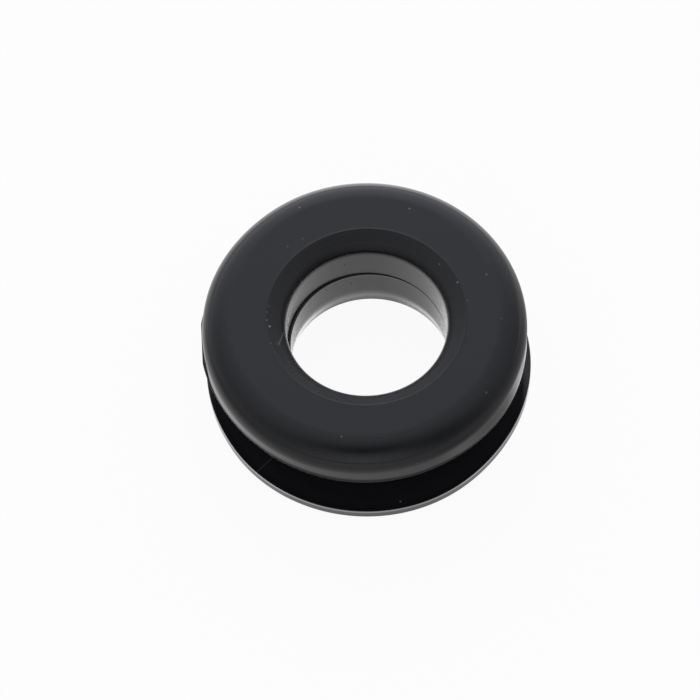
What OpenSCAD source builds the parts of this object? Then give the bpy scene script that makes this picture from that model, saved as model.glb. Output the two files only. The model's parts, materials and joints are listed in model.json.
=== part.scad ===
// Cable grommet: one rubber moulding that lines a hole in a panel.
// A thick rounded flange, a neck that fills the panel hole and a thin flat flange behind the panel.
// Millimetres. The thin flange's axis is Z and the part stands on that flange at z = 0.

/* [Thick flange] */
// Diameter of the thick flange
thick_flange_d = 19.9; // [17:0.1:26]
// Thickness of the thick flange
thick_flange_t = 3.0; // [2.2:0.1:5]
// Radius that rounds its outer edge over to its face
edge_r = 1.8; // [0.5:0.1:2]

/* [Thin flange] */
// Diameter of the thin flange
thin_flange_d = 20.4; // [17:0.1:26]
// Thickness of the thin flange
thin_flange_t = 0.75; // [0.4:0.05:2]

/* [Panel groove] */
// Diameter of the neck, which is the panel hole it fits
neck_d = 14.0; // [13.4:0.1:15.6]
// Width of the groove, which is the thickest panel it takes
groove_w = 3.65; // [1.6:0.05:6]
// Radius in the two inner corners of the groove
groove_corner_r = 0.3; // [0.1:0.05:0.4]

/* [Cable bore] */
// Diameter of the bore above the parting ledge
bore_d = 9.9; // [8:0.1:11]
// How much smaller across the bore is below the parting ledge
ledge_step = 0.2; // [0.1:0.05:0.4]
// Depth of the parting ledge below the face of the thick flange
ledge_depth = 3.5; // [2.2:0.1:4.2]
// Width of the countersink around the bore
sink_w = 1.1; // [0.7:0.05:1.6]
// Depth from the face to the straight wall of the bore
sink_depth = 1.15; // [0.8:0.05:1.5]
// Radius of the lip between countersink and bore
lip_r = 0.5; // [0.2:0.05:0.7]
// Height of the tapered mouth at the bottom of the bore
mouth_h = 1.5; // [0.4:0.1:2]
// How much wider the mouth is than the bore, on the radius
mouth_w = 0.33; // [0.1:0.01:0.6]

/* [Mould fit] */
// Offset of the upper cavity, which forms the thick flange, along X
cavity_offset_x = -0.13; // [-0.2:0.01:0.2]
// Offset of the upper cavity along Y
cavity_offset_y = 0.05; // [-0.2:0.01:0.2]
// Offset of the core pins along X
pin_offset_x = 0.01; // [-0.2:0.01:0.2]
// Offset of the core pins along Y
pin_offset_y = -0.15; // [-0.2:0.01:0.2]
// Further offset along X of the lower core pin, which makes the ledge wide on one side
pin_mismatch = 0.08; // [-0.08:0.01:0.08]

/* [Hidden] */
$fn = 128;
cut_past = 0.5;                                     // how far a cutter runs past a face
groove_z = thin_flange_t;                           // the groove's lower wall
thick_flange_z = groove_z + groove_w;               // the thick flange's underside
face_z = thick_flange_z + thick_flange_t;           // the face of the thick flange
lip_z = face_z - sink_depth;                        // where the straight bore starts
ledge_z = face_z - ledge_depth;                     // where the two core pins meet

// The countersink's cone runs from its rim, tangent to the lip's circle.
lip_centre = [bore_d / 2 + lip_r, lip_z];
sink_rim = [bore_d / 2 + sink_w, face_z];
rim_to_lip = lip_centre - sink_rim;
cone_length = sqrt(rim_to_lip * rim_to_lip - lip_r * lip_r);
cone_angle = atan2(rim_to_lip[1], rim_to_lip[0]) - asin(lip_r / norm(rim_to_lip));
cone_end = sink_rim + cone_length * [cos(cone_angle), sin(cone_angle)];

// Thin flange in section: a plain disc.
module thin_flange_section() {
    square([thin_flange_d / 2, thin_flange_t]);
}

// Neck in section, run up into the thick flange, with a small radius at each wall of the groove.
module neck_section() {
    neck_r = neck_d / 2;
    square([neck_r, face_z - edge_r]);
    translate([neck_r, groove_z]) groove_corner();
    translate([neck_r, thick_flange_z]) mirror([0, 1]) groove_corner();
}

// The rubber that fills one inner corner of the groove.
module groove_corner() {
    difference() {
        square(groove_corner_r);
        translate([groove_corner_r, groove_corner_r]) circle(groove_corner_r);
    }
}

// Thick flange in section: flat face, rounded outer edge, square lower corner.
module thick_flange_section() {
    flange_r = thick_flange_d / 2;
    translate([0, thick_flange_z]) {
        square([flange_r - edge_r, thick_flange_t]);
        square([flange_r, thick_flange_t - edge_r]);
        translate([flange_r - edge_r, thick_flange_t - edge_r]) intersection() {
            circle(edge_r);
            square(edge_r);
        }
    }
}

// The flanges and neck before the bore is cored out. The two cavities don't meet quite in line.
module blank() {
    rotate_extrude() {
        thin_flange_section();
        neck_section();
    }
    translate([cavity_offset_x, cavity_offset_y, 0]) rotate_extrude() thick_flange_section();
}

// Upper core pin: straight bore, rounded lip, conical countersink.
module upper_pin() {
    translate([0, 0, ledge_z]) cylinder(h = lip_z - ledge_z, d = bore_d);
    rotate_extrude() difference() {
        polygon([[0, lip_z], lip_centre, cone_end, sink_rim,
                 [sink_rim[0], face_z + cut_past], [0, face_z + cut_past]]);
        translate(lip_centre) circle(lip_r);
    }
}

// Lower core pin: straight bore with a tapered mouth at the bottom face.
module lower_pin() {
    low_bore_r = (bore_d - ledge_step) / 2;
    taper = mouth_w / mouth_h;
    rotate_extrude() polygon([[0, -cut_past], [low_bore_r + mouth_w + taper * cut_past, -cut_past],
                              [low_bore_r, mouth_h], [low_bore_r, ledge_z], [0, ledge_z]]);
}

module grommet() {
    color([0.07, 0.07, 0.08]) difference() {
        blank();
        translate([pin_offset_x, pin_offset_y, 0]) upper_pin();
        translate([pin_offset_x + pin_mismatch, pin_offset_y, 0]) lower_pin();
    }
}

grommet();
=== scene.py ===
# %% [markdown]
# A rubber cable grommet, dressed for a studio picture.
#
# The real one is a single moulding: a thick rounded flange, a neck that fills a hole in a panel, and a
# thin flange behind the panel. It could be modelled by bevelling cylinders. It is made here as one
# closed surface instead, a section carried round the axis, because every edge of a moulding is a small
# curve, and it is those curves that catch the light.
# Lengths in this file are in millimetres until they reach a mesh, which is in metres.

# %% The frame
import json

import bpy
import numpy as np
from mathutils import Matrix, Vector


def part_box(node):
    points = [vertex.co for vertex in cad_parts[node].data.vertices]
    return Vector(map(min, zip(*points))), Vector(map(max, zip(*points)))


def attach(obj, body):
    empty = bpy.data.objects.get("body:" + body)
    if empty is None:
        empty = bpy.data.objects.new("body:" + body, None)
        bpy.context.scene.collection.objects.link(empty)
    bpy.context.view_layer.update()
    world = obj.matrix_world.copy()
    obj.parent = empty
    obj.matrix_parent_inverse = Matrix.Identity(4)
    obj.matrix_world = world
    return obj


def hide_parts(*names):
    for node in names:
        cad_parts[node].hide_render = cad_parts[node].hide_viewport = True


MM = 0.001
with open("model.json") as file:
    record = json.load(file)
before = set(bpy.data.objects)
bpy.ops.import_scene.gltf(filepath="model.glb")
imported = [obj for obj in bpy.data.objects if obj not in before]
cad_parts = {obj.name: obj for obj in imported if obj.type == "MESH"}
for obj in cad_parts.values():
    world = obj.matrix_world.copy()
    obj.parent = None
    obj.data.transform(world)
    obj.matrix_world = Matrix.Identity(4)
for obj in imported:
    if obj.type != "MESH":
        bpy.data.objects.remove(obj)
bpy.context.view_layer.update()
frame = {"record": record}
low, high = (np.array(corner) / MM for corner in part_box("grommet"))
mounts = {mount["name"]: mount for mount in frame["record"]["mounts"]}
print("grommet box, mm:", low.round(3), high.round(3))

# %% [markdown]
# The moulding tool has two cavities, one for the thin flange and the neck and one for the thick
# flange, and two core pins, which meet inside the bore. On the real part none of them lines up quite
# with the others, so a ledge runs round the bore where the pins meet. Each of them has its own axis
# here. Sizes that the frame states are read from it, and the rest are written down.

# %% Sizes of the moulding
THIN_FLANGE_AXIS = (0.0, 0.0)
THICK_FLANGE_AXIS = (-0.13, 0.04)
UPPER_PIN_AXIS = (0.01, -0.15)
LOWER_PIN_AXIS = np.array(mounts["cable_bore"]["pos_m"][:2]) / MM
LEDGE_STEP = 0.07

thin_r = high[0]
thin_top_z = mounts["groove_back_wall"]["pos_m"][2] / MM
underside_z = mounts["groove_front_wall"]["pos_m"][2] / MM
witness_h = 0.014                                      # a raised line stands this high on the face
clearance = 0.001                                      # and its crest this far inside the frame's box
face_z = high[2] - witness_h - clearance
neck_r = 7.0
thick_r = 9.96
wall_r = 9.95                                          # thick flange below its shoulder
shoulder_r = 1.8
lower_bore_r = mounts["cable_bore"]["dims"]["r_mm"]
upper_bore_r = lower_bore_r + LEDGE_STEP
ledge_z = high[2] - 3.6
lip_z = high[2] - 1.24
lip_r = 0.9
sink_r = upper_bore_r + 1.13                           # rim of the countersink
mouth_z = 1.5                                          # height of the mouth's taper, and its width
mouth_w = 0.33
print("thin flange", round(thin_r, 3), "groove", round(thin_top_z, 3), round(underside_z, 3),
      "bore", lower_bore_r, "height", round(face_z, 3))

# %% [markdown]
# The section is drawn as the mould maker would: straight runs and arcs, in order, from the bore's
# mouth out along the bottom, up the outside, in over the face and down the bore. Each run is a small
# array of (radius, height) points. A straight run puts one more point just inside each of its ends,
# so that the smooth shading of the neighbouring curve doesn't creep across the flat.

# %% Runs of the section
GUARD = 0.02


def straight(start, end, steps, guard=GUARD):
    """Points from start to end: start + t * (end - start), with t even from 0 to 1 and one more t
    a guard's length inside each end."""
    start, end = np.array(start, float), np.array(end, float)
    inset = guard / np.linalg.norm(end - start)
    t = np.unique(np.concatenate([np.linspace(0, 1, steps + 1), [inset, 1 - inset]]))
    return start + t[:, None] * (end - start)


def arc(centre, radius, start_deg, end_deg, steps):
    """Points on a circle: centre + radius * (cos a, sin a), with the angle a even between the ends."""
    a = np.radians(np.linspace(start_deg, end_deg, steps + 1))
    return np.array(centre) + radius * np.stack([np.cos(a), np.sin(a)], axis=1)


print("a straight run:", straight((0, 0), (1, 0), 2).round(3).tolist())

# %% [markdown]
# Now the outside. The thin flange gets two tight edges, because a mould can't fill a perfectly sharp
# corner, and its rim is waisted: it leans out again towards its upper edge. The groove gets a small
# radius at each wall of the neck. Where the cavity's two halves meet, at the thick flange's
# underside, rubber creeps between them and leaves a thin fin of flash. The wall flares out to it.

# %% Outside of the moulding
EDGE_R = 0.03
thin_bottom_r = thin_r - 0.01
thin_top_r = thin_r - 0.02
waist = (thin_r - 0.05, 0.45)
GROOVE_CORNER_R = 0.3
FIN_T = 0.035
FIN_DRAWN = 1.0                                        # its width here, cut back when it is carried round
FLARE_R = 0.35
FLARE_TOP_Z = 4.73
FLARE_TURN_DEG = 35.0

thin_flange = [
    arc((thin_bottom_r - EDGE_R, EDGE_R), EDGE_R, -90, 0, 5),
    straight((thin_bottom_r, EDGE_R), waist, 4),
    straight(waist, (thin_top_r, thin_top_z - EDGE_R), 3),
    arc((thin_top_r - EDGE_R, thin_top_z - EDGE_R), EDGE_R, 0, 90, 6),
]
groove = [
    straight((thin_top_r - EDGE_R, thin_top_z), (neck_r + GROOVE_CORNER_R, thin_top_z), 6),
    arc((neck_r + GROOVE_CORNER_R, thin_top_z + GROOVE_CORNER_R), GROOVE_CORNER_R, 270, 180, 7),
    straight((neck_r, thin_top_z + GROOVE_CORNER_R), (neck_r, underside_z - GROOVE_CORNER_R), 5),
    arc((neck_r + GROOVE_CORNER_R, underside_z - GROOVE_CORNER_R), GROOVE_CORNER_R, 180, 90, 7),
]
flare = arc((wall_r + FLARE_R, FLARE_TOP_Z), FLARE_R, 180 + FLARE_TURN_DEG, 180, 10)
foot_r, foot_z = flare[0]
fin_z, fin_tip_r = foot_z - FIN_T, foot_r + FIN_DRAWN
fin = [
    straight((neck_r + 1, fin_z), (foot_r - 0.1, fin_z), 5),
    straight((foot_r, fin_z), (fin_tip_r, fin_z), 4, 0.2),
    straight((fin_tip_r, foot_z - FIN_T / 2), (fin_tip_r, foot_z), 1, 0.01),
    straight((fin_tip_r, foot_z), (foot_r, foot_z), 4, 0.2),
]
wall = [flare, straight(flare[-1], (wall_r, FLARE_TOP_Z + 0.1), 2)]
thick_flange = [
    arc((thick_r - shoulder_r, face_z - shoulder_r), shoulder_r, 0, 90, 44),
    straight((thick_r - shoulder_r, face_z), (sink_r + 0.9, face_z), 5),
]
lower_half = np.concatenate(thin_flange + groove)
foot = np.concatenate(fin + wall)
thick_flange = np.concatenate(thick_flange)
print("outside:", len(lower_half), "+", len(foot), "+", len(thick_flange), "points")

# %% [markdown]
# The inside follows the pins. The countersink's cone starts at a soft edge and runs tangent into the
# lip. The tangent point is worked out from the lip's circle: from a point outside a circle, the line
# that touches it makes the angle asin(radius / distance) with the line to the centre. At the ledge
# the rubber crept between the two pins as well, and left a small bead that overhangs the lower bore.
# The mouth is a slight taper, with a long curve into the bore and a tight one at the bottom.

# %% Inside of the moulding
BEAD_W = 0.015
BEAD_H = 0.1
BEAD_R = 0.025
MOUTH_CURVE_R = 4.0
MOUTH_CURVE_Z = mouth_z + 0.43
RIM_EDGE_R = 0.12

lip_centre = np.array([upper_bore_r + lip_r, lip_z])
rim_point = np.array([sink_r, face_z])
to_centre = lip_centre - rim_point
distance = np.linalg.norm(to_centre)
cone_deg = np.degrees(np.arctan2(to_centre[1], to_centre[0]) - np.arcsin(lip_r / distance)) % 360
cone_length = np.sqrt(distance ** 2 - lip_r ** 2)
cone_dir = np.array([np.cos(np.radians(cone_deg)), np.sin(np.radians(cone_deg))])
cone_end = rim_point + cone_length * cone_dir
print("cone", round(cone_deg, 2), "degrees, ends at", cone_end.round(3))

# The rim's edge is an arc tangent to the face and to the cone: it takes the same length off both.
turn_deg = cone_deg - 180
rim_cut = RIM_EDGE_R * np.tan(np.radians(turn_deg / 2))
rim_edge = arc((sink_r + rim_cut, face_z - RIM_EDGE_R), RIM_EDGE_R, 90, 90 + turn_deg, 8)

upper_bore = [
    straight((sink_r + 0.4, face_z), (sink_r + 0.2, face_z), 1),
    straight((sink_r + 0.2, face_z), rim_edge[0], 6),
    rim_edge,
    straight(rim_edge[-1], cone_end, 8),
    arc(lip_centre, lip_r, 90 + turn_deg, 180, 18),
    straight((upper_bore_r, lip_z), (upper_bore_r, ledge_z), 6),
]
bead_tip_r = lower_bore_r - BEAD_W
taper_deg = np.degrees(np.arctan2(mouth_w, mouth_z))
taper_dir = np.array([np.sin(np.radians(taper_deg)), -np.cos(np.radians(taper_deg))])
mouth_curve = arc((lower_bore_r + MOUTH_CURVE_R, MOUTH_CURVE_Z), MOUTH_CURVE_R,
                  180, 180 + taper_deg, 14)
taper_end = mouth_curve[-1] + taper_dir * (mouth_curve[-1][1] - EDGE_R) / -taper_dir[1]
lower_bore = [
    arc((bead_tip_r + BEAD_R, ledge_z - BEAD_R), BEAD_R, 90, 180, 5),
    straight((bead_tip_r, ledge_z - BEAD_R), (lower_bore_r, ledge_z - BEAD_H), 3),
    straight((lower_bore_r, ledge_z - BEAD_H), mouth_curve[0], 5),
    mouth_curve,
    straight(mouth_curve[-1], taper_end, 4),
    arc((taper_end[0] + EDGE_R, EDGE_R), EDGE_R, 180 + taper_deg, 270, 4),
]
upper_bore, lower_bore = np.concatenate(upper_bore), np.concatenate(lower_bore)
bottom = straight(lower_bore[-1], (thin_r - EDGE_R, 0), 6)
print("bore:", len(upper_bore), "+", len(lower_bore), "points, mouth radius", lower_bore[-1][0].round(3))

# %% [markdown]
# The section is now carried round. Each point of it becomes a ring, and each ring has its own axis:
# the flanges', a pin's, or along the bottom a blend of two. Where two runs meet on the same axis they
# share a point, so the repeated point is dropped before the rings are joined.

# %% Rings
TOUCHING = 1e-6                                        # two points nearer than this are one


def with_axis(points, axis):
    """Rows of (radius, height, axis x, axis y)."""
    return np.hstack([points, np.broadcast_to(axis, (len(points), 2))])


share = np.linspace(0, 1, len(bottom))[:, None]
bottom_axes = (1 - share) * LOWER_PIN_AXIS + share * THIN_FLANGE_AXIS
section = np.vstack([
    np.hstack([bottom, bottom_axes])[1:-1],
    with_axis(lower_half, THIN_FLANGE_AXIS),
    with_axis(foot, THICK_FLANGE_AXIS),
    with_axis(thick_flange, THICK_FLANGE_AXIS),
    with_axis(upper_bore, UPPER_PIN_AXIS),
    with_axis(lower_bore, LOWER_PIN_AXIS),
])
step = np.linalg.norm(np.diff(section, axis=0), axis=1)
section = section[np.concatenate([[True], step > TOUCHING])]
print("section:", len(section), "points")

# %% [markdown]
# None of the rings is quite a circle. Both flanges are dented a little, and the thick flange's foot
# bulges and is drawn in by turns. Its flare is there along the front only, and the fin is wide on the
# left and thin everywhere else. Each of these is a bell curve round the turn, so it fades out on both
# sides. A raised line, the witness of the pin's edge, runs round the countersink.

# %% Faults round the turn
# Each row: millimetres, and the direction and the width in degrees. Direction -90 is the front.
THIN_DENTS = [(0.145, -40, 25), (0.04, -155, 12)]
THICK_DENTS = [(0.055, 133, 18)]
FOOT_BULGES = [(0.12, -35, 20), (-0.08, -125, 35), (0.08, -165, 12)]
FIN_WIDTHS = [(0.23, 175, 16)]
FLARE_FRONT = (-95, 42)                                # direction and width of the stretch that flares
EVERYWHERE = 0.01                                      # a dent and a fin that go all the way round
LINE_R = sink_r + 0.05
LINE_W = 0.045


def bump_at(a, centre_deg, width_deg):
    """A bell curve round the turn: exp(-(angle from its centre / width) squared)."""
    away_deg = (np.degrees(a) - centre_deg + 180) % 360 - 180
    return np.exp(-(away_deg / width_deg) ** 2)


def bumps(a, rows, everywhere=0.0):
    """The sum of amount * bump_at(a, direction, width) over the rows, on top of an even amount."""
    return sum((amount * bump_at(a, *place_and_width) for amount, *place_and_width in rows), everywhere)


def dents(a, radius, height):
    """What the flanges' radii lose. The loss grows from the neck, where it is 0, out to the rim."""
    outer = np.clip((radius - neck_r - 1) / (thick_r - neck_r - 1), 0, 1)
    on_thin = height < thin_top_z + 0.01
    return outer * (on_thin * bumps(a, THIN_DENTS, EVERYWHERE) + ~on_thin * bumps(a, THICK_DENTS))


def foot_shift(a, radius, height):
    """What the foot gains: its bulges, less the flare wherever the wall doesn't flare."""
    in_foot = (height > thin_top_z + 1) * (height < FLARE_TOP_Z + 0.11) * (radius > foot_r - 0.08)
    no_flare = 1 - bump_at(a, *FLARE_FRONT)
    return in_foot * (bumps(a, FOOT_BULGES) - no_flare * (radius.clip(wall_r, foot_r) - wall_r))


def fin_cut(a, radius, height):
    """What the fin loses, so that it ends at its own width, or at the frame's box if that is nearer."""
    in_fin = (height > thin_top_z + 1) * (height < foot_z + TOUCHING)
    past_foot = np.clip(radius - foot_r, 0, None) * in_fin
    no_flare = 1 - bump_at(a, *FLARE_FRONT)
    fin_root = foot_r + bumps(a, FOOT_BULGES) - no_flare * (foot_r - wall_r)
    box_r = (low[0] + 0.004 - THICK_FLANGE_AXIS[0]) / np.cos(a).clip(None, -0.5)
    fin_width = np.minimum(bumps(a, FIN_WIDTHS, EVERYWHERE), box_r - fin_root)
    return past_foot * (1 - fin_width / FIN_DRAWN)


def witness_line(a, radius, height):
    """Height of the raised line: its crest * exp(-(distance from the line / width) squared). The crest
    is full at the back and on the right, and falls away at the front."""
    crest = witness_h * (0.15 + 0.85 * np.clip(np.sin(a + 0.3) * 2 + 0.7, 0, 1))
    return np.exp(-((radius - LINE_R) / LINE_W) ** 2) * (height > lip_z + 0.5) * crest


quarters = np.radians([180, -90, 0, 90])
print("fin at the left, front, right and back:", bumps(quarters, FIN_WIDTHS, EVERYWHERE).round(3), "mm")

# %% Carried round
AROUND = 400


def carry_round(section, around):
    """Vertices at axis + radius * (cos a, sin a), for a even round a turn, one ring per point of the
    section, with the faults in radius and height. Quads join neighbouring rings and angles, both
    closed, and are wound to face outwards."""
    a = np.linspace(0, 2 * np.pi, around, endpoint=False)
    radius, height, axis_x, axis_y = (column[:, None] for column in section.T)
    where = a, radius, height
    radius = radius - dents(*where) - fin_cut(*where) + foot_shift(*where)
    height = height + witness_line(*where)
    points = np.stack([axis_x + radius * np.cos(a), axis_y + radius * np.sin(a), height],
                      axis=-1).reshape(-1, 3)
    index = np.arange(len(points)).reshape(len(section), around)
    next_ring, next_angle = np.roll(index, -1, axis=0), np.roll(index, -1, axis=1)
    quads = np.stack([index, next_angle, np.roll(next_ring, -1, axis=1), next_ring], axis=-1)
    return points, quads.reshape(-1, 4)


def make_piece(name, points, quads):
    """A smooth-shaded mesh object from arrays, its points turned from millimetres to metres."""
    mesh = bpy.data.meshes.new(name)
    mesh.from_pydata((points * MM).tolist(), [], quads.tolist())
    mesh.shade_smooth()
    piece = bpy.data.objects.new(name, mesh)
    bpy.context.scene.collection.objects.link(piece)
    return piece


points, quads = carry_round(section, AROUND)
moulding = make_piece("grommet_moulding", points, quads)
print("moulding:", len(points), "points,", 2 * len(quads), "triangles")

# %% [markdown]
# Shader maths reads best as arithmetic. The class below wraps a socket, so that an expression such as
# 1 - mask adds its own Math nodes. Every other node comes from one function, which takes the node's
# type, its settings, and the values or links of its inputs.

# %% Sockets that do arithmetic
class Wire:
    """One output socket of a node tree, with the operators that the finishes use."""

    def __init__(self, tree, socket):
        self.tree, self.socket = tree, socket

    def math(self, operation, *values):
        return add_node(self.tree, "ShaderNodeMath", dict(operation=operation), values)

    def __add__(self, other): return self.math("ADD", self, other)
    def __sub__(self, other): return self.math("SUBTRACT", self, other)
    def __rsub__(self, other): return self.math("SUBTRACT", other, self)
    def __mul__(self, other): return self.math("MULTIPLY", self, other)
    def __pow__(self, other): return self.math("POWER", self, other)
    __radd__, __rmul__ = __add__, __mul__

    def at_most(self, other): return self.math("MINIMUM", self, other)
    def at_least(self, other): return self.math("MAXIMUM", self, other)
    def size(self): return self.math("ABSOLUTE", self)
    def exp(self): return self.math("EXPONENT", self)

    def ramp(self, start, end):
        """0 below start, 1 above end, and an S-shaped rise between. It falls where start > end."""
        settings = dict(interpolation_type="SMOOTHSTEP")
        if start > end:
            return 1 - self.ramp(end, start)
        return add_node(self.tree, "ShaderNodeMapRange", settings, {0: self, 1: start, 2: end})


def add_node(tree, kind, settings=None, inputs=(), output=0):
    """A node of that kind, as a Wire from one of its outputs. Inputs are by position or by key."""
    node = tree.nodes.new(kind)
    for name, value in (settings or {}).items():
        setattr(node, name, value)
    pairs = inputs.items() if isinstance(inputs, dict) else enumerate(inputs)
    for key, value in pairs:
        if isinstance(value, Wire):
            tree.links.new(value.socket, node.inputs[key])
        else:
            node.inputs[key].default_value = value
    return Wire(tree, node.outputs[output]) if node.outputs else None


def new_tree(owner):
    """The empty node tree of a material or world."""
    owner.use_nodes = True
    owner.node_tree.nodes.clear()
    return owner.node_tree


print("a Wire can do:", " ".join(name.strip("_") for name, value in vars(Wire).items() if callable(value)))

# %% [markdown]
# Moulded rubber is black through and through, and its skin copies the steel of the mould. The cavity
# is polished, so the flanges have a soft satin gloss. The core pins were turned on a lathe, so the
# countersink and the bore are duller and carry very fine rings. The groove and the countersink are
# painted a little paler, as painted light, and the thick flange's foot is worn by handling. The
# distance from the pins' axis and the height tell the finish which of them it is on.

# %% Where a point of the rubber lies
rubber = bpy.data.materials.new("moulded_rubber")
tree = new_tree(rubber)
place = add_node(tree, "ShaderNodeTexCoord", output="Object")


def parts_of(vector):
    """The x, y and z of a vector in metres, as Wires in millimetres."""
    node = vector.tree.nodes.new("ShaderNodeSeparateXYZ")
    vector.tree.links.new(vector.socket, node.inputs[0])
    return [Wire(vector.tree, node.outputs[axis]) * (1 / MM) for axis in "XYZ"]


x, y, z = parts_of(place)
pin_distance = ((x - UPPER_PIN_AXIS[0]) ** 2 + (y - UPPER_PIN_AXIS[1]) ** 2) ** 0.5
turned = pin_distance.ramp(sink_r, sink_r - 0.06)
in_bore = pin_distance.ramp(upper_bore_r + 0.2, upper_bore_r + 0.03)
in_sink = turned * (1 - in_bore)
# A ramp fades over the distance, or the height, between its two values.
foot_worn = pin_distance.ramp(9.0, 9.3) * z.ramp(4.75, 4.4) * z.ramp(4.0, 4.1)
in_groove = pin_distance.ramp(10.0, 9.4) * pin_distance.ramp(6.5, 6.9) * z.ramp(4.3, 4.2)
print("turned inside r", sink_r, "mm")

# %% [markdown]
# Rubber holds dust. A few pale specks lie on it, with a scratch in the countersink, a hairline on the
# thin flange and three dark pits in the bore. Each is a soft spot or a soft line in space, placed where
# it meets the surface.

# %% Textures and marks
def noise(scale_mm, detail):
    """Noise from 0 to 1 whose features are about scale_mm across."""
    return add_node(tree, "ShaderNodeTexNoise", None,
                    {"Vector": place, "Scale": 1 / (scale_mm * MM), "Detail": detail, "Roughness": 0.5})


def rings(scale_mm, across):
    """Noise along one distance only, so that its lines run round the axis."""
    return add_node(tree, "ShaderNodeTexNoise", dict(noise_dimensions="1D"),
                    {"W": across * (1 / scale_mm), "Scale": 1.0, "Detail": 2.0, "Roughness": 0.6})


def vector_math(operation, *values, output="Vector"):
    """A Vector Math node."""
    return add_node(tree, "ShaderNodeVectorMath", dict(operation=operation), values, output)


def near_point(point, reach):
    """1 at a point given in millimetres, falling to 0 at a distance of reach."""
    apart = vector_math("DISTANCE", place, np.array(point) * MM, output="Value") * (1 / MM)
    return apart.ramp(reach, 0.35 * reach)


def near_line(start, end, reach):
    """1 along a straight line between two points, falling to 0 at a distance of reach. The nearest
    point of the line is start + t * (end - start), with t = (p - start).(end - start) / length ** 2."""
    start, run = np.array(start) * MM, (np.array(end) - start) * MM
    t = vector_math("DOT_PRODUCT", vector_math("SUBTRACT", place, start), run / (run @ run),
                    output="Value").at_least(0.0).at_most(1.0)
    along = add_node(tree, "ShaderNodeVectorMath", dict(operation="SCALE"), {0: run, "Scale": t})
    apart = vector_math("DISTANCE", place, vector_math("ADD", along, start), output="Value") * (1 / MM)
    return apart.ramp(reach, 0.3 * reach)


print("so far:", len(tree.nodes), "nodes")

# %% Dust, scratches and pits
SPECK_R = 0.085
PIT_R = 0.09
# Each speck: where it lies, and how much it shows.
SPECKS = [
    ((-3.64, 7.77, 7.35), 0.30), ((3.14, 7.16, 7.385), 0.30), ((4.71, 3.19, 7.20), 0.22),
    ((5.71, 1.75, 7.35), 0.45), ((7.51, 2.15, 7.385), 0.25), ((6.22, 0.44, 7.385), 0.12),
    ((8.18, -0.95, 7.37), 0.08), ((6.88, -5.76, 7.12), 0.20), ((-1.95, -8.17, 7.37), 0.20),
    ((2.46, -9.55, 5.86), 0.12), ((1.36, -9.62, 0.75), 0.30), ((-5.89, -0.39, 7.27), 0.90),
    ((-4.52, 5.04, 7.385), 0.12), ((-3.57, 5.53, 7.385), 0.12), ((-3.81, 3.02, 6.36), 0.50),
    ((-0.87, 4.75, 6.41), 0.30), ((-5.85, 0.99, 7.33), 0.12), ((-5.99, 0.56, 7.37), 0.12),
    ((-6.02, 0.02, 7.37), 0.22), ((-5.85, -1.58, 7.37), 0.14), ((-5.49, -1.48, 7.13), 0.10),
    ((-5.64, -2.20, 7.36), 0.10),
]
# Each scratch: its two ends, its reach, and how much it shows.
SCRATCHES = [
    ((-5.08, -0.58, 6.71), (-5.41, -1.60, 7.10), 0.06, 0.20),
    ((-7.36, -7.01, 0.75), (-6.32, -6.06, 0.75), 0.05, 0.08),
]
PITS = [(-1.10, 4.68, 5.30), (-0.74, 4.63, 2.89), (-2.39, 4.02, 3.44)]

dust = sum(amount * near_line(start, end, reach) for start, end, reach, amount in SCRATCHES)
dust = sum((amount * near_point(point, SPECK_R) for point, amount in SPECKS), dust)
pits = sum(near_point(point, PIT_R) for point in PITS)
print(len(SPECKS), "specks,", len(SCRATCHES), "scratches,", len(PITS), "pits")

# %% Rubber
RUBBER_DARK = (0.0118, 0.0122, 0.0142, 1)
RUBBER_PALE = (0.0142, 0.0146, 0.0168, 1)
DUST_COLOUR = (0.62, 0.61, 0.58, 1)
PAINTED_LIFT_SHARE = 0.012                                           # how much pale colour is painted into the groove and the countersink, as painted light


def mix_colours(share, first, second):
    """From the first colour at a share of 0 to the second at 1."""
    return add_node(tree, "ShaderNodeMix", dict(data_type="RGBA"),
                    {"Factor": share, "A": first, "B": second}, output="Result")


grain = noise(0.12, 3.0)
cloud = noise(2.5, 2.0)
lathe_marks = rings(0.12, pin_distance + z * 1.3)
fine_rings = rings(0.04, pin_distance + z * 1.1)
shade = mix_colours(cloud, RUBBER_DARK, RUBBER_PALE)
# The specks and scratches are dust; the pale colour in the groove and the countersink is painted light.
dust_and_painted_lift = mix_colours(dust + PAINTED_LIFT_SHARE * (in_groove + in_sink), shade, DUST_COLOUR)
polished = 0.11 + 0.03 * cloud + 0.02 * grain
lathed = 0.35 - 0.17 * in_bore + 0.04 * lathe_marks
gloss = polished + turned * (lathed - polished) + 0.5 * pits + 0.15 * foot_worn
# The relief's height is in millimetres.
relief = 0.0010 * grain + turned * (0.012 * fine_rings * (1 - 0.7 * in_bore) + 0.003 * lathe_marks)
bump = add_node(tree, "ShaderNodeBump", None, {"Strength": 1.0, "Distance": MM, "Height": relief})
shader = add_node(tree, "ShaderNodeBsdfPrincipled", None,
                  {"Base Color": dust_and_painted_lift, "Roughness": gloss, "IOR": 1.5, "Normal": bump})
add_node(tree, "ShaderNodeOutputMaterial", None, {"Surface": shader})
moulding.data.materials.append(rubber)
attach(moulding, "root")
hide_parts("grommet")
print("rubber:", len(tree.nodes), "nodes")

# %% [markdown]
# The floor is a white sheet. A camera ray sees most of it as plain white, and the rest is a matt white
# that still takes the grommet's shadow. A mirror ray off the rubber sees painted light on the sheet
# instead, a pattern that is there only for the rubber's painted reflections: brightest close round the
# grommet and under the bore's mouth, and dimmer in front.

# %% Floor
FLOOR_HALF = 400.0
FLOOR_Z = -0.02                                        # clear of the bottom face
SHADOW_SHARE = 0.1
SHEET_WHITE = 1.04
# Each painted spot of light that the rubber mirrors: how bright, where its centre is, and how far it
# reaches.
PAINTED_LIGHT_SPOTS = [
    (1.3, 0, 40, 25), (0.35, -6, -45, 25), (0.14, 0, -13, 5), (0.20, 7.2, -9, 2),
    (-0.15, 12, -14, 5), (0.44, -13, 0, 12), (0.65, 10.9, -2.2, 1.7),
]

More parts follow.
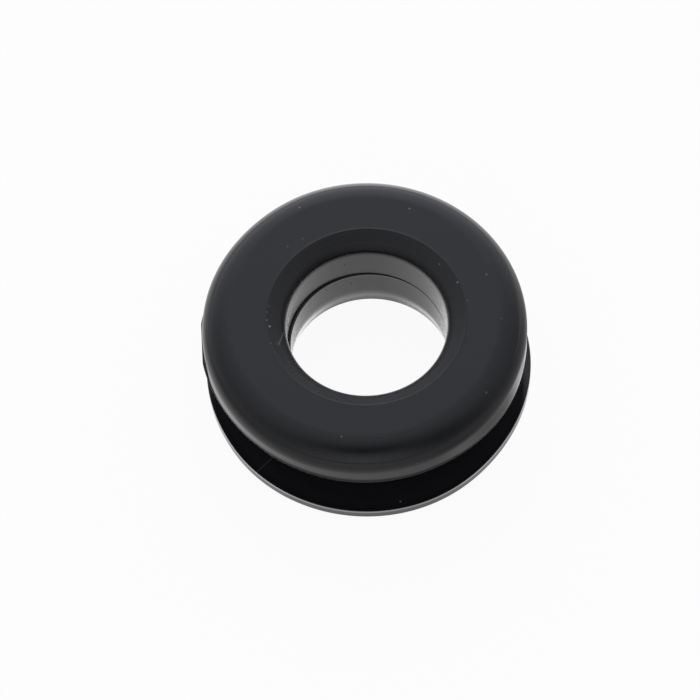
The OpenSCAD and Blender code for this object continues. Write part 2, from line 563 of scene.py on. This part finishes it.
corners = np.array([(-1, -1, 0), (1, -1, 0), (1, 1, 0), (-1, 1, 0)]) * FLOOR_HALF + [0, 0, FLOOR_Z]
floor = make_piece("floor", corners, np.array([[0, 1, 2, 3]]))
paper = bpy.data.materials.new("white_paper")
tree = new_tree(paper)
light_path = tree.nodes.new("ShaderNodeLightPath")
camera_ray, glossy_ray, clear_ray = (Wire(tree, light_path.outputs[name]) for name in
                                     ("Is Camera Ray", "Is Glossy Ray", "Is Transmission Ray"))
floor_x, floor_y, _ = parts_of(add_node(tree, "ShaderNodeTexCoord", output="Object"))


def spot(centre_x, centre_y, reach):
    """A soft round spot on the floor: exp(-(distance from its centre / reach) squared)."""
    apart = (floor_x - centre_x) ** 2 + (floor_y - centre_y) ** 2
    return (apart * (-1 / reach ** 2)).exp()


from_middle = (floor_x ** 2 + floor_y ** 2) ** 0.5
painted_mirror_light = 0.33 + 0.26 * floor_y.ramp(6, 14)
for amount, centre_x, centre_y, reach in PAINTED_LIGHT_SPOTS:
    painted_mirror_light = painted_mirror_light + amount * spot(centre_x, centre_y, reach)
# Then painted light in a ring just outside the flanges, in the middle, and at the two sides of the bore's
# mouth.
painted_mirror_light = painted_mirror_light + 0.8 * from_middle.ramp(11, 10.6) * from_middle.ramp(7, 8)
painted_mirror_light = painted_mirror_light + 0.38 * from_middle.ramp(7, 5)
painted_mirror_light = painted_mirror_light + (1.1 * from_middle.ramp(4.45, 4.8) * from_middle.ramp(7, 5)
                       * floor_x.size().ramp(1.5, 4))
seen = (camera_ray + glossy_ray + clear_ray).at_most(1.0)
matt = add_node(tree, "ShaderNodeBsdfDiffuse", None, {"Color": (0.9, 0.9, 0.9, 1)})
# Mirror rays see the painted light in place of the even sheet white.
brightness = SHEET_WHITE - glossy_ray * (SHEET_WHITE - painted_mirror_light)
white = add_node(tree, "ShaderNodeEmission", None, {"Color": (1, 1, 1, 1), "Strength": brightness})
mixed = add_node(tree, "ShaderNodeMixShader", None, (seen * (1 - SHADOW_SHARE), matt, white))
add_node(tree, "ShaderNodeOutputMaterial", None, {"Surface": mixed})
floor.data.materials.append(paper)
print("floor:", 2 * FLOOR_HALF, "mm across,", len(PAINTED_LIGHT_SPOTS), "soft spots")

# %% [markdown]
# The light is a white tent all round, brightest at the back, with a darker patch above the front,
# where a studio has its camera. A world shader gives that directly: brightness as a function of
# direction.

# %% World
world = bpy.data.worlds.new("light_tent")
bpy.context.scene.world = world
tree = new_tree(world)
direction = add_node(tree, "ShaderNodeTexCoord", output="Generated")

TENT = 0.21                                            # the same from every side
DIMMEST = 0.02
TENT_COLOUR = (0.97, 0.985, 1.06, 1)
# Each light: amount, azimuth and elevation in degrees, and how narrow it is. Azimuth 90 is behind.
LIGHTS = [
    (1.11, 94, -5, 2.1),
    (0.15, 95, 60, 2.8),
    (0.31, 90, 45, 20.0),
    (0.13, 90, 80, 12.0),
    (0.37, -95, -4, 5.1),
    (0.17, -90, 20, 12.0),
    (-0.20, -96, 50, 30.0),
    (0.31, 178, -25, 4.3),
    (0.11, 180, 20, 8.0),
    (0.21, 180, 60, 8.0),
    (0.15, 0, 20, 8.0),
    (0.20, 0, 60, 8.0),
    (0.10, 45, 30, 8.0),
    (0.09, -135, 5, 8.0),
    (-0.12, -52, 30, 11.0),
]
glow = TENT
for amount, azimuth, elevation, narrow in LIGHTS:
    az, el = np.radians(azimuth), np.radians(elevation)
    aim = (float(np.cos(el) * np.cos(az)), float(np.cos(el) * np.sin(az)), float(np.sin(el)))
    facing = add_node(tree, "ShaderNodeVectorMath", dict(operation="DOT_PRODUCT"),
                      (direction, aim), output="Value").at_least(0.0)
    glow = facing ** narrow * amount + glow
glow = glow.at_least(DIMMEST)
light_path = tree.nodes.new("ShaderNodeLightPath")
camera_ray = Wire(tree, light_path.outputs["Is Camera Ray"])
strength = glow * (1 - camera_ray) + camera_ray
sky = add_node(tree, "ShaderNodeBackground", None, {"Color": TENT_COLOUR, "Strength": strength})
add_node(tree, "ShaderNodeOutputWorld", None, {"Surface": sky})
print("tent:", len(LIGHTS), "lights")

# %% [markdown]
# A long lens from high in front flattens the picture a little, as product pictures do.

# %% Camera
CAMERA_PLACE = (-1.109, -86.451, 167.782)
CAMERA_TURN_DEG = (27.598, 1.762, -3.367)
LENS_MM = 154.29
SENSOR_MM = 36.0

camera = bpy.data.objects.new("camera", bpy.data.cameras.new("camera"))
camera.data.sensor_width = SENSOR_MM
camera.data.lens = LENS_MM
camera.location = np.array(CAMERA_PLACE) * MM
camera.rotation_euler = np.radians(CAMERA_TURN_DEG)
bpy.context.scene.collection.objects.link(camera)
bpy.context.scene.camera = camera
print("camera:", round(float(np.linalg.norm(CAMERA_PLACE))), "mm away")

# %% Finish
bpy.context.scene.view_settings.view_transform = "Standard"
